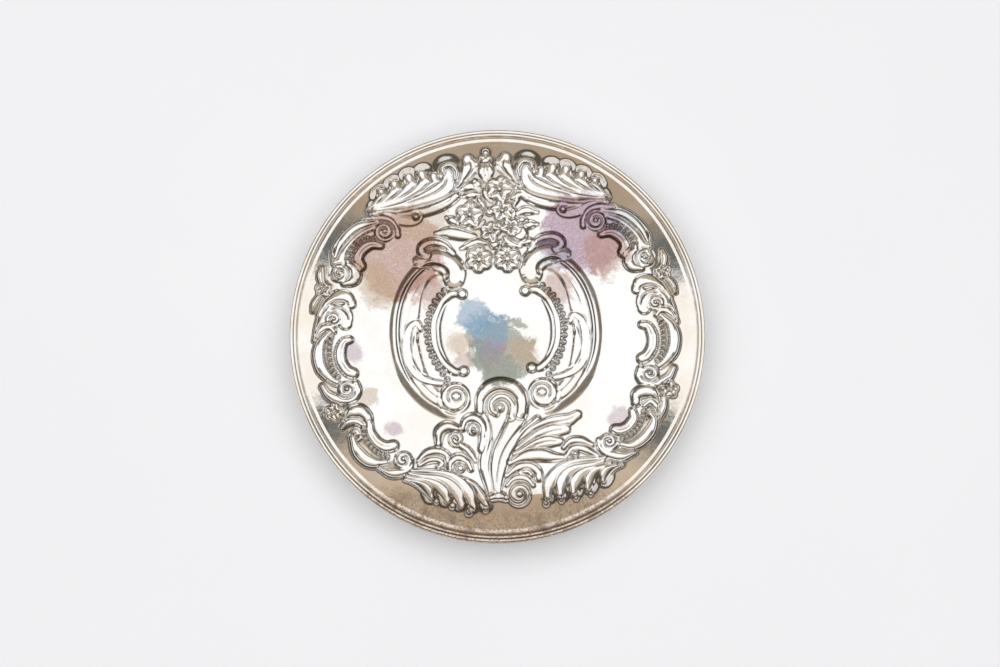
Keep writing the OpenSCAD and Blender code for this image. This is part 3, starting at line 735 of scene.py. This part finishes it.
class Finish(Nodes):
    """A material made of nodes round one Principled shader. Its patterns are measured in mm."""

    def __init__(self, name, **values):
        self.material = bpy.data.materials.new(name)
        self.material.use_nodes = True
        super().__init__(self.material.node_tree)
        self.shader = self.tree.nodes["Principled BSDF"]
        for key, value in values.items():
            self.shader.inputs[key.replace("_", " ")].default_value = value
        self.normal = None
        place = self.node("ShaderNodeTexCoord").outputs["Object"]
        self.where = self.vector("MULTIPLY", place, (1 / MM,) * 3)

    def stretch(self, factors, turn=0):
        """The pattern place, turned about the case's axis and then stretched."""
        sockets = {"Vector": self.where, "Rotation": (0, 0, radians(turn))}
        turned = self.node("ShaderNodeMapping", sockets).outputs[0]
        return self.vector("MULTIPLY", turned, factors)

    def noise(self, size, detail=3, roughness=0.55, factors=None, turn=0, distortion=0.0):
        """Noise whose features are about size mm across."""
        where = self.stretch(factors, turn) if factors else self.where
        sockets = {"Vector": where, "Scale": 1 / size, "Detail": detail, "Roughness": roughness,
                   "Distortion": distortion}
        return self.node("ShaderNodeTexNoise", sockets).outputs["Fac"]

    def radius(self):
        """Distance from the case's axis."""
        return self.measure("LENGTH", self.vector("MULTIPLY", self.where, (1, 1, 0)))

    def attribute(self, name):
        return self.node("ShaderNodeAttribute", attribute_name=name).outputs["Fac"]

    def stained(self, colour, stains):
        """Lays ragged stains on a colour. Each has a place, a radius, a soft edge, a tint and a depth."""
        broad = self.math("SUBTRACT", self.noise(4.5, 5, 0.6, distortion=0.8), 0.5)
        small = self.math("SUBTRACT", self.noise(0.7, 6, 0.75), 0.5)
        ragged = self.math("ADD", self.times(broad, 9.0), self.times(small, 3.2))
        grain = self.spread(self.noise(0.4, 6, 0.8, distortion=1.0), 0.36, 0.62, 0.72, 1.0)
        for x, y, r, soft, tint, depth in stains:
            gap = self.measure("DISTANCE", self.where, (x, y, STAIN_Z))
            gap = self.math("ADD", gap, self.times(ragged, min(1.0, r / 4)))
            share = self.spread(gap, r - 0.6 * soft, r + 0.6 * soft, min(1.0, 1.25 * depth), 0.0)
            colour = self.mix(self.times(grain, share), colour, tint)
        return colour

    def scratches(self, turns, wide, share):
        """Thin straight marks lying in several directions, as a mask."""
        mask = None
        for turn in turns:
            lines = self.noise(1.0, 1, 0.5, (1 / wide, 0.12, 1), turn, 0.15)
            one = self.spread(lines, share, share + 0.04)
            mask = one if mask is None else self.math("MAXIMUM", mask, one)
        return mask

    def bump(self, height, distance):
        """Adds relief of a depth in mm to what is there already."""
        sockets = {"Height": height, "Strength": 1.0, "Distance": distance * MM}
        if self.normal:
            sockets["Normal"] = self.normal
        self.normal = self.node("ShaderNodeBump", sockets).outputs[0]

    def wear(self, strength):
        """Fine handling scratches in three directions."""
        for turn, wide in ((12, 0.06), (68, 0.09), (131, 0.07)):
            lines = self.noise(1.0, 2, 0.5, (1 / wide, 0.05, 1), turn)
            self.bump(self.spread(lines, 0.62, 0.72), strength)

    def done(self, colour, roughness=None, alpha=None):
        """Joins the pattern to the shader and gives the material."""
        fed = {"Base Color": colour, "Roughness": roughness, "Alpha": alpha, "Normal": self.normal}
        for key, value in fed.items():
            if value is not None:
                self.tree.links.new(value, self.shader.inputs[key])
        return self.material


SILVER = (0.94, 0.935, 0.925)
CREAM = (0.87, 0.82, 0.74)
OXIDE = (0.075, 0.062, 0.048)
ROSE = (0.44, 0.25, 0.20)
MAUVE = (0.40, 0.26, 0.34)
BLUE = (0.19, 0.32, 0.45)
TAN = (0.48, 0.34, 0.21)
OLIVE = (0.27, 0.29, 0.24)
CRUST = (0.15, 0.085, 0.05)
GRIME = (0.40, 0.34, 0.25)
WARM = (0.86, 0.77, 0.66)
GOLD = (0.86, 0.65, 0.33)
DEEP_GOLD = (0.76, 0.53, 0.25)
AMBER = (0.66, 0.44, 0.22)
RUST = (0.55, 0.44, 0.32)
STEEL = (0.60, 0.61, 0.63)
DULL_STEEL = (0.50, 0.50, 0.52)
STAIN_Z = 11.6                 # height at which the stains' middles lie, in mm
# Tarnish on the lid: place, radius and soft edge in mm, tint, depth
STAINS = [
    (-19, 15, 8.5, 1.6, ROSE, 0.7), (-14, 20.5, 4.5, 1.5, TAN, 0.45), (-23.5, 9, 4.0, 1.5, TAN, 0.5),
    (16.5, 19, 8.0, 1.6, MAUVE, 0.75), (21, 15, 4.5, 1.5, ROSE, 0.6),
    (11, 14.5, 3.0, 1.5, BLUE, 0.2), (24, 21, 3, 1.3, BLUE, 0.25),
    (0.8, -3.8, 6.2, 0.8, OLIVE, 0.7), (-4.4, 3.4, 3.2, 1.0, BLUE, 0.6), (-2.2, -0.4, 4.2, 1.6, BLUE, 0.6),
    (4.6, -3.4, 3.2, 1.6, TAN, 0.5), (-7.2, -2.6, 2.8, 1.2, TAN, 0.5), (-6.2, -5.2, 2.2, 1.0, ROSE, 0.45),
    (0.5, -7.0, 3.4, 1.4, OLIVE, 0.6), (-3.6, -4.4, 3.0, 1.4, OLIVE, 0.5), (-0.8, -3.6, 2.4, 1.5, MAUVE, 0.3),
    (-13.5, 8.5, 3.4, 1.6, ROSE, 0.6), (12, 9, 3.2, 1.6, ROSE, 0.55), (-27.5, -3.5, 2.0, 0.9, MAUVE, 0.5),
    (-24.5, -12.5, 1.8, 0.7, TAN, 0.5), (-20, -18.5, 1.8, 0.8, MAUVE, 0.5),
    (23, -16.5, 2.1, 0.9, MAUVE, 0.45),
]


def embossed_silver():
    """Silver with tarnish stains, dark oxide in its hollows, painted shade in the rim's creases and on its
    skirt and underside, and crust along the front.
    """
    f = Finish("embossed_silver", Metallic=1.0)
    cloud = f.noise(9.0, 4, 0.6)
    fine = f.noise(0.5, 5, 0.65)
    colour = f.mix(f.spread(cloud, 0.4, 0.68, 0.0, 0.55), SILVER, CREAM)
    colour = f.stained(colour, STAINS)
    # Handling has polished thin bright lines back through the stains
    colour = f.mix(f.times(f.scratches((20, 55, 96, 141), 0.09, 0.70), fine, 0.5), colour, SILVER)
    # The sloping band is warmer than the field, and brown along the front
    _, y, z = f.split(f.where)
    front = f.spread(f.math("ADD", y, f.times(f.noise(2.5, 4), 9.0)), -28.0, -23.0, 1.0, 0.0)
    low = f.spread(z, 11.2, 8.6)
    slope = f.spread(z, 11.45, 10.9)
    colour = f.mix(f.times(slope, f.spread(f.noise(5.0, 4), 0.3, 0.7, 0.25, 0.85)), colour, WARM)
    colour = f.mix(f.times(front, 0.4), colour, TAN)
    # Dirt on the low ground and dark oxide in the hollows; the same hollow values also carry the painted
    # shade in the rim's creases and on its skirt and underside
    hollow = f.attribute("hollow")
    oxide_and_painted_shade = f.times(f.spread(hollow, 0.1, 0.8), f.spread(f.noise(1.2, 4), 0.25, 0.6, 0.5, 1.0))
    colour = f.mix(f.times(f.attribute("soil"), 0.8), colour, GRIME)
    colour = f.mix(f.times(oxide_and_painted_shade, 0.5), colour, OXIDE)
    # Crust low down along the front
    specks = f.spread(f.noise(0.45, 5, 0.7), 0.49, 0.58)
    clouds = f.spread(f.noise(2.4, 6, 0.7, distortion=0.6), 0.46, 0.62)
    crust = f.times(front, low, f.math("MAXIMUM", f.times(specks, 0.9), clouds))
    # Along the front the crust also lies in the hollows, and so over the painted shade in the rim's creases
    crust = f.math("MAXIMUM", crust, f.times(front, f.spread(hollow, 0.2, 0.8)))
    colour = f.mix(f.times(crust, 0.65), colour, CRUST)
    rough = f.math("ADD", f.spread(fine, 0.3, 0.7, 0.05, 0.11), f.times(oxide_and_painted_shade, 0.25))
    rough = f.math("ADD", rough, f.times(crust, 0.3))
    f.bump(f.noise(0.35, 4, 0.6), 0.006)
    f.bump(f.noise(2.2, 2), 0.03)
    f.wear(0.0012)
    return f.done(colour, rough)


# ---- Camera, light and floor ----
VIEW_TILT = radians(83)        # the photograph's view above the horizon
VIEW_AWAY = 537.0              # distance of the camera in mm
VIEW_TARGET = (0.5, 0.6, 5.0)
WHITE = (1.1, 1.1, 1.1)
WALL_FRONT = (0.62, 0.52, 0.42)
WALL_BACK = (0.46, 0.38, 0.30)
WALL_EDGE = (0.14, 0.155, 0.16)
WALL_LOW = (0.10, 0.096, 0.085)
BACKDROP = (0.80, 0.80, 0.81)
WINDOWS = (6, 171)             # bearings of the two side windows in degrees
FLOOR_HALF = 900               # half width of the floor in mm
FLOOR_Z = -0.02


def aim(ob, place, target):
    """Puts an object at a place in mm, looking at a target."""
    ob.location = [c * MM for c in place]
    ob.rotation_euler = (Vector(target) - Vector(place)).to_track_quat("-Z", "Y").to_euler()


def camera():
    """Looks down at the case as the photograph does."""
    data = bpy.data.cameras.new("camera")
    data.lens = 100
    data.sensor_width = 36
    ob = bpy.data.objects.new("camera", data)
    bpy.context.scene.collection.objects.link(ob)
    x, y, z = VIEW_TARGET
    aim(ob, (x, y - VIEW_AWAY * cos(VIEW_TILT), z + VIEW_AWAY * sin(VIEW_TILT)), VIEW_TARGET)
    bpy.context.scene.camera = ob


def room():
    """White overhead and in a window at each side, warm walls between them, and dark low down."""
    world = bpy.data.worlds.new("room")
    bpy.context.scene.world = world
    world.use_nodes = True
    n = Nodes(world.node_tree)
    way = n.node("ShaderNodeTexCoord").outputs["Generated"]
    _, north, up = n.split(way)
    level = n.vector("NORMALIZE", n.vector("MULTIPLY", way, (1, 1, 0)))
    windows = [(cos(radians(a)), sin(radians(a)), 0) for a in WINDOWS]
    side = n.math("MAXIMUM", *(n.measure("DOT_PRODUCT", level, window) for window in windows))
    middle = n.spread(up, 0.5, 0.6)
    wall = n.mix(n.spread(north, -0.3, 0.3), WALL_FRONT, WALL_BACK)
    wall = n.mix(n.times(n.spread(side, 0.74, 0.88), middle), wall, WALL_EDGE)
    wall = n.mix(n.times(n.spread(side, 0.91, 0.96), middle), wall, WHITE)
    # The level field mirrors this way into the camera
    overhead = n.measure("DOT_PRODUCT", way, (0, cos(VIEW_TILT), sin(VIEW_TILT)))
    wall = n.mix(n.spread(overhead, 0.36, 0.62), WALL_LOW, wall)
    light = n.mix(n.spread(overhead, 0.77, 0.83), wall, WHITE)
    # What the camera sees past the floor is plain
    seen = n.node("ShaderNodeLightPath").outputs["Is Camera Ray"]
    sky = n.tree.nodes["Background"]
    n.tree.links.new(n.mix(seen, light, BACKDROP), sky.inputs["Color"])
    sky.inputs["Strength"].default_value = 1.0


def lamp():
    """A broad lamp overhead. It lights the floor without showing in the polished metal."""
    data = bpy.data.lights.new("key", "AREA")
    data.size = 1500 * MM
    data.energy = 6.4
    data.color = (0.95, 0.97, 1.0)
    ob = bpy.data.objects.new("key", data)
    ob.visible_glossy = False
    bpy.context.scene.collection.objects.link(ob)
    aim(ob, (-30, 70, 1000), (0, 0, 0))


def floor_piece():
    """The pale card that the case lies on."""
    f = Finish("pale_card", Roughness=0.7)
    colour = f.mix(f.noise(60.0, 3), (0.87, 0.88, 0.91), (0.90, 0.91, 0.94))
    f.bump(f.noise(0.8, 4), 0.01)
    material = f.done(colour)
    n = 40
    a = np.linspace(-FLOOR_HALF, FLOOR_HALF, n + 1)
    x, y = np.meshgrid(a, a)
    points = np.stack([x.ravel(), y.ravel(), np.full(x.size, FLOOR_Z)], 1)
    piece("floor", points, grid_quads(n), material)


# ---- Powder, gauze, puff and ribbon, in mm ----
POWDER_GAP = 0.05              # the loose powder ends this far inside the CAD powder bed
GAUZE_GAP = 0.1                # the same for the gauze
POWDER_N = 60                  # quads across the powder
GAUZE_N = 48                   # and across the gauze
THREAD_HALF = 0.16             # half the distance from thread to thread in the gauze
PUFF_R = 29.8
PUFF_FLAT_R = 21               # the puff's top rolls down outside this
PUFF_SEAM_Z = 3.6
PUFF_AROUND = 276              # vertices round the puff
RIBBON_HALF = 6.5              # half width of the ribbon
RIBBON_REACH = 28.4            # half its length as seen from above
RIBBON_THICK = 0.05


def waves(x, y, size, seed):
    """Smooth seeded unevenness, from -1 to 1."""
    rng = np.random.default_rng(seed)
    total = np.zeros(np.shape(x))
    for _ in range(8):
        a, phase = rng.uniform(0, 2 * pi, 2)
        f = 2 * pi / (size * rng.uniform(0.7, 1.5))
        total = total + np.sin(f * (x * cos(a) + y * sin(a)) + phase)
    return total / 8


def span(node):
    """Lowest and highest corner of a CAD node, in mm."""
    low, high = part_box(node)
    return np.array(low) / MM, np.array(high) / MM


def powder_material():
    """Pink powder in two tones, with fine and broad unevenness."""
    f = Finish("loose_powder", Roughness=0.95, Specular_IOR_Level=0.15)
    colour = f.mix(f.spread(f.noise(4.0, 4), 0.35, 0.65), (0.78, 0.52, 0.40), (0.86, 0.62, 0.50))
    f.bump(f.noise(0.12, 4, 0.7), 0.05)
    f.bump(f.noise(1.5, 3), 0.2)
    return f.done(colour)


def powder_piece():
    """Loose powder with an uneven top that falls off towards its pan."""
    low, high = span("powder_bed")
    gx, gy = disc_grid(POWDER_N)
    x, y = gx.ravel() * (high[0] - POWDER_GAP), gy.ravel() * (high[0] - POWDER_GAP)
    near_edge = np.clip((np.hypot(x, y) - high[0] + 1.5) / 1.5, 0, 1)
    top = high[2] - 0.12 + 0.1 * waves(x, y, 9, 3) - 0.12 * near_edge
    points = np.stack([np.tile(x, 2), np.tile(y, 2), np.concatenate([top, np.full(x.size, low[2])])], 1)
    quads = grid_quads(POWDER_N)
    ring = grid_rim(POWDER_N)
    faces = np.concatenate([quads, quads[:, ::-1] + x.size, ring_quads(ring, ring + x.size)])
    piece("loose_powder", points, faces, powder_material(), "base", "powder_bed")


def gauze():
    """Crossed threads with open gaps between them."""
    f = Finish("silk_gauze", Roughness=0.7, Sheen_Weight=0.3)
    x, y, _ = f.split(f.where)
    threads = []
    for place in (x, y):
        place = f.math("ADD", place, f.times(f.noise(3.0, 2), 0.05))
        wave = f.math("PINGPONG", place, THREAD_HALF)
        threads.append(f.spread(wave, 0.05, 0.09, 1.0, 0.0))
    cloth = f.math("MAXIMUM", *threads)
    f.bump(cloth, 0.04)
    colour = f.mix(f.noise(0.1, 2), (0.80, 0.76, 0.66), (0.92, 0.89, 0.82))
    return f.done(colour, alpha=cloth)


def gauze_piece():
    """The silk sheet that the sifter ring holds."""
    low, high = span("sifter_gauze")
    radius = high[0] - GAUZE_GAP
    gx, gy = disc_grid(GAUZE_N)
    x, y = gx.ravel() * radius, gy.ravel() * radius
    z = (low[2] + high[2]) / 2 - 0.05 + 0.03 * waves(x, y, 30, 5)
    points = np.stack([x, y, z], 1)
    ob = piece("silk_gauze", points, grid_quads(GAUZE_N), gauze(), "base", "sifter_gauze")


def puff_top(x, y):
    """Upper side of the puff: nearly flat, then rolling down to its seam with small gathers."""
    r = np.hypot(x, y)
    edge = np.clip((r - PUFF_FLAT_R) / (PUFF_R - PUFF_FLAT_R), 0, 1)
    roll = 1.45 * np.sqrt(np.clip(1 - edge ** 3, 0, 1))
    gathers = 0.28 * np.sin(46 * np.arctan2(y, x)) * edge ** 2 * (1 - edge)
    crown = 0.05 * (r / PUFF_FLAT_R) ** 2 * (1 - edge)
    return PUFF_SEAM_Z + roll + gathers - crown


def velour():
    """Cloth with a short nap, stroked in patches."""
    f = Finish("velour", Roughness=0.9, Sheen_Weight=0.7, Sheen_Roughness=0.4)
    nap = f.noise(0.18, 4, 0.7)
    stroked = f.spread(f.noise(7.0, 3, 0.5, (1, 0.5, 1), 25), 0.4, 0.62)
    colour = f.mix(stroked, (0.72, 0.40, 0.38), (0.84, 0.53, 0.50))
    colour = f.mix(f.spread(nap, 0.3, 0.7, 0.0, 0.35), colour, (0.55, 0.26, 0.25))
    f.bump(nap, 0.12)
    f.bump(f.noise(0.9, 3), 0.12)
    return f.done(colour)


def puff_piece():
    """The padded puff: rings of vertices from the middle of its top to the middle of its underside."""
    angle = np.linspace(0, 2 * pi, PUFF_AROUND, endpoint=False)
    c, s = np.cos(angle), np.sin(angle)
    rows = []
    for r in (0.6, 2, 5, 9, 13, 17, 20, 22, 24, 25.5, 27, 28, 28.7, 29.2, 29.5, 29.7):
        rows.append(np.stack([c * r, s * r, puff_top(c * r, s * r)], 1))
    turns = [radians(a) for a in range(60, -61, -30)]
    seam = [(29.55 + 0.35 * cos(a), PUFF_SEAM_Z + 0.3 * sin(a)) for a in turns]
    underside = [(29.5, 3.25), (29, 2.9), (28, 2.66), (26, 2.56), (15, 2.55), (0.6, 2.55)]
    for r, z in seam + underside:
        rows.append(np.stack([c * r, s * r, np.full(PUFF_AROUND, z)], 1))
    rings = np.arange(len(rows) * PUFF_AROUND).reshape(len(rows), PUFF_AROUND)
    faces = np.concatenate([ring_quads(b, a) for a, b in zip(rings[:-1], rings[1:])]).tolist()
    faces += [rings[0].tolist(), rings[-1].tolist()[::-1]]
    ob = piece("puff", np.concatenate(rows), faces, velour(), "base", "puff_pad")
    return ob


def satin():
    """Satin with a ribbed selvedge along both edges."""
    f = Finish("satin_ribbon", Roughness=0.35, Sheen_Weight=0.4, Anisotropic=0.6)
    edge = f.spread(f.math("ABSOLUTE", f.split(f.where)[0]), 5.9, 6.2)
    ribs = f.node("ShaderNodeTexWave", {"Vector": f.where, "Scale": 2.2, "Distortion": 0.6, "Detail": 2.0},
                  bands_direction="Y").outputs["Fac"]
    colour = f.mix(f.noise(5.0, 3, 0.5, (0.3, 1, 1)), (0.80, 0.50, 0.50), (0.90, 0.66, 0.64))
    colour = f.mix(f.times(edge, 0.4), colour, (0.66, 0.36, 0.36))
    f.bump(f.noise(0.12, 2, 0.5, (0.1, 1, 1)), 0.012)
    f.bump(f.times(ribs, edge), 0.05)
    return f.done(colour)


def ribbon_piece(puff):
    """The satin ribbon, which follows the puff's top from seam to seam."""
    across, along = 20, 110
    run = np.linspace(-RIBBON_REACH, RIBBON_REACH, along + 1)
    u, v = np.meshgrid(np.linspace(-RIBBON_HALF, RIBBON_HALF, across + 1), run)
    x, y = u.ravel(), v.ravel()
    z = puff_top(x, y) + 0.06 + 0.02 * waves(x, y, 6, 9)
    i = (np.arange(along)[:, None] * (across + 1) + np.arange(across)).ravel()
    quads = np.stack([i, i + 1, i + across + 2, i + across + 1], 1)
    ob = piece("satin_ribbon", np.stack([x, y, z], 1), quads, satin(), "base", "puff_ribbon")
    solid = ob.modifiers.new("thickness", "SOLIDIFY")
    solid.thickness = RIBBON_THICK * MM
    solid.offset = 1


# ---- Finishes of the CAD nodes ----
def metal(name, light, deep, roughness, grain, size, grain_depth, tarnish):
    """Polished metal with drifting tone, tarnish, a fine grain and handling scratches."""
    f = Finish(name, Metallic=1.0)
    colour = f.mix(f.spread(f.noise(8.0, 4), 0.38, 0.66), light, deep)
    colour = f.mix(f.spread(f.noise(3.0, 5, 0.65), 0.56, 0.72, 0.0, 0.6), colour, tarnish)
    rough = f.spread(f.noise(1.0, 4, 0.6), 0.3, 0.7, roughness * 0.8, roughness * 1.35)
    f.bump(f.noise(size, 3, 0.6, grain), grain_depth)
    f.wear(0.001)
    return f, colour, rough


def engine_turned(f):
    """Waved rays round the centre, crossed by rings, inside a plain border."""
    x, y, _ = f.split(f.where)
    turn = f.math("ARCTAN2", y, x)
    r = f.radius()
    sway = f.times(f.math("SINE", f.times(r, 1.15)), 2.2)
    rays = f.math("SINE", f.math("ADD", f.times(turn, 72.0), sway))
    rings = f.times(f.math("SINE", f.times(r, 6.0)), 0.35)
    inside = f.times(f.spread(r, 28.6, 28.9, 1.0, 0.0), f.spread(r, 3.4, 3.6))
    f.bump(f.times(f.math("ADD", rays, rings), inside), 0.05)
    border = f.times(f.spread(r, 31.2, 31.3), f.spread(r, 33.0, 33.1, 1.0, 0.0))
    f.bump(f.times(f.math("SINE", f.times(r, 12.0)), border), 0.03)


def paint(finish, *nodes):
    """Gives CAD nodes a finish."""
    for name in nodes:
        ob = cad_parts[name]
        if not ob.material_slots:
            ob.data.materials.append(finish)
        for s in ob.material_slots:
            s.material = finish


def finish_metals():
    """Silver outside, gilt inside, engine turning on the inner lid, and steel for pins and catch."""
    f, colour, rough = metal("plain_silver", SILVER, CREAM, 0.22, (0.06, 0.06, 1), 0.05, 0.004, RUST)
    paint(f.done(colour, rough), "base_shell", "base_hinge_leaf", "lid_hinge_leaf", "push_button")
    f, colour, rough = metal("gilt", GOLD, DEEP_GOLD, 0.24, (1, 1, 0.1), 0.1, 0.004, (0.60, 0.38, 0.20))
    paint(f.done(colour, rough), "lid_liner", "mirror_bezel", "base_collar", "powder_pan", "sifter_ring",
          "inner_hinge_bracket", "inner_lid_tab")
    f, colour, rough = metal("engine_turned_gilt", GOLD, DEEP_GOLD, 0.2, (1, 1, 1), 0.3, 0.003, AMBER)
    engine_turned(f)
    paint(f.done(colour, rough), "inner_lid")
    f, colour, rough = metal("steel", STEEL, DULL_STEEL, 0.32, (0.1, 1, 1), 0.1, 0.005, (0.34, 0.26, 0.20))
    paint(f.done(colour, rough), "hinge_pin", "inner_hinge_pin", "catch_housing", "catch_spring",
          "latch_bolt", "catch_keeper")


def mirror_finish():
    """Old mirror glass, spotted mostly towards its edge."""
    f = Finish("mirror", Metallic=1.0, Coat_Weight=1.0, Coat_Roughness=0.02)
    spots = f.times(f.spread(f.noise(1.1, 5, 0.7), 0.60, 0.72), f.spread(f.radius(), 24.0, 34.0, 0.12, 0.9))
    colour = f.mix(spots, (0.90, 0.92, 0.91), (0.36, 0.30, 0.24))
    rough = f.math("ADD", f.spread(f.noise(6.0, 3), 0.3, 0.7, 0.01, 0.035), f.times(spots, 0.3))
    paint(f.done(colour, rough), "mirror_glass")


def card_finish():
    """Brown card behind the mirror."""
    f = Finish("backing_card", Roughness=0.9)
    colour = f.mix(f.noise(0.4, 4, 0.7), (0.20, 0.12, 0.07), (0.33, 0.21, 0.13))
    f.bump(f.noise(0.15, 3, 0.6, (1, 0.2, 1)), 0.05)
    paint(f.done(colour), "mirror_pad")


camera()
room()
bpy.context.scene.view_settings.view_transform = "Standard"
lamp()
floor_piece()
lid_piece(embossed_silver())
finish_metals()
mirror_finish()
card_finish()
powder_piece()
gauze_piece()
ribbon_piece(puff_piece())
